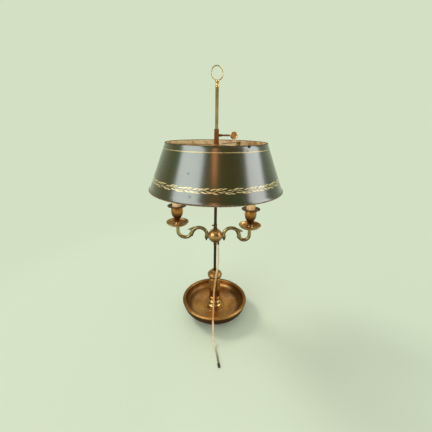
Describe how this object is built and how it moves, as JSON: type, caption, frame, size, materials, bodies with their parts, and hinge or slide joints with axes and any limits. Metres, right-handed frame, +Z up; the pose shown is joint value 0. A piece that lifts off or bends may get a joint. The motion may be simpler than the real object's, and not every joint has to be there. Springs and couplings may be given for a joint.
{
  "type": "bouillotte lamp",
  "caption": "Table lamp on a dished brass base: a square rod carries a sliding branch of candle lights under a sliding painted metal shade, with a carrying ring on top.",
  "frame": {"origin": "on the rod's axis, on the surface the lamp stands on", "axes": "+Z up along the rod; +X to the right, along the two arms; -Y to the front, where the cord lies"},
  "size_m": [0.3501, 0.3843, 0.6891],
  "materials": {
    "dish_brass": "polished, aged lacquer",
    "column_brass": "polished, aged",
    "rod_brass": "aged, unpolished",
    "ring_brass": "polished",
    "shade_paint": "gloss enamel with gilt lines and a leaf garland",
    "spider_brass": "satin",
    "collar_brass": "aged, coppery",
    "key_brass": "satin, coppery",
    "hub_brass": "satin",
    "arm_brass": "antique patina",
    "pan_brass": "polished",
    "cup_brass": "polished",
    "screw_brass": "aged",
    "steel": "plated",
    "cast_iron": "as cast",
    "felt": "felt",
    "ivory_plastic": "moulded",
    "candle_card": "cream card sleeve",
    "opal_glass": "opal",
    "bulb_cap": "rolled",
    "lead_vinyl": "insulated wire",
    "cord_vinyl": "translucent flat twin cord",
    "cord_end": "dark end"
  },
  "bodies": {
    "stand": {"base_bowl": "dish_brass", "base_weight": "cast_iron", "base_felt": "felt", "base_washer": "steel", "base_nut": "steel", "column_foot": "column_brass", "column_shaft": "column_brass", "column_cap": "column_brass", "center_rod": "rod_brass", "finial_ferrule": "ring_brass", "finial_ring": "ring_brass", "cord": "cord_vinyl", "cord_tip": "cord_end"},
    "shade": {"shade_shell": "shade_paint", "shade_spider": "spider_brass", "shade_rivets": "spider_brass", "shade_collar": "collar_brass"},
    "key": {"shade_key": "key_brass"},
    "light_branch": {"hub_ball": "hub_brass", "hub_cover": "hub_brass", "hub_collar": "rod_brass", "cord_gland": "rod_brass", "wire_junction": "ivory_plastic", "left_arm": "arm_brass", "right_arm": "arm_brass", "left_drip_pan": "pan_brass", "right_drip_pan": "pan_brass", "left_candle_cup": "cup_brass", "right_candle_cup": "cup_brass", "left_cup_nut": "steel", "right_cup_nut": "steel", "left_lampholder": "ivory_plastic", "right_lampholder": "ivory_plastic", "left_candle_sleeve": "candle_card", "right_candle_sleeve": "candle_card", "left_bulb_cap": "bulb_cap", "right_bulb_cap": "bulb_cap", "left_bulb": "opal_glass", "right_bulb": "opal_glass", "left_lead": "lead_vinyl", "right_lead": "lead_vinyl"},
    "set_screw": {"hub_set_screw": "screw_brass"}
  },
  "joints": [
    {"name": "shade_slide", "type": "slide", "parent": "stand", "child": "shade", "axis": [0, 0, 1], "range_m": [-0.03, 0.085]},
    {"name": "shade_key_turn", "type": "hinge", "parent": "shade", "child": "key", "pos_m": [0, 0, 0.536], "axis": [1, 0, 0], "range_deg": [0, 270]},
    {"name": "branch_slide", "type": "slide", "parent": "stand", "child": "light_branch", "axis": [0, 0, 1], "range_m": [-0.07, 0.015], "deforming": ["cord"]},
    {"name": "set_screw_turn", "type": "hinge", "parent": "light_branch", "child": "set_screw", "pos_m": [0, 0, 0.292], "axis": [-1, 0, 0], "range_deg": [0, 270]}
  ]
}
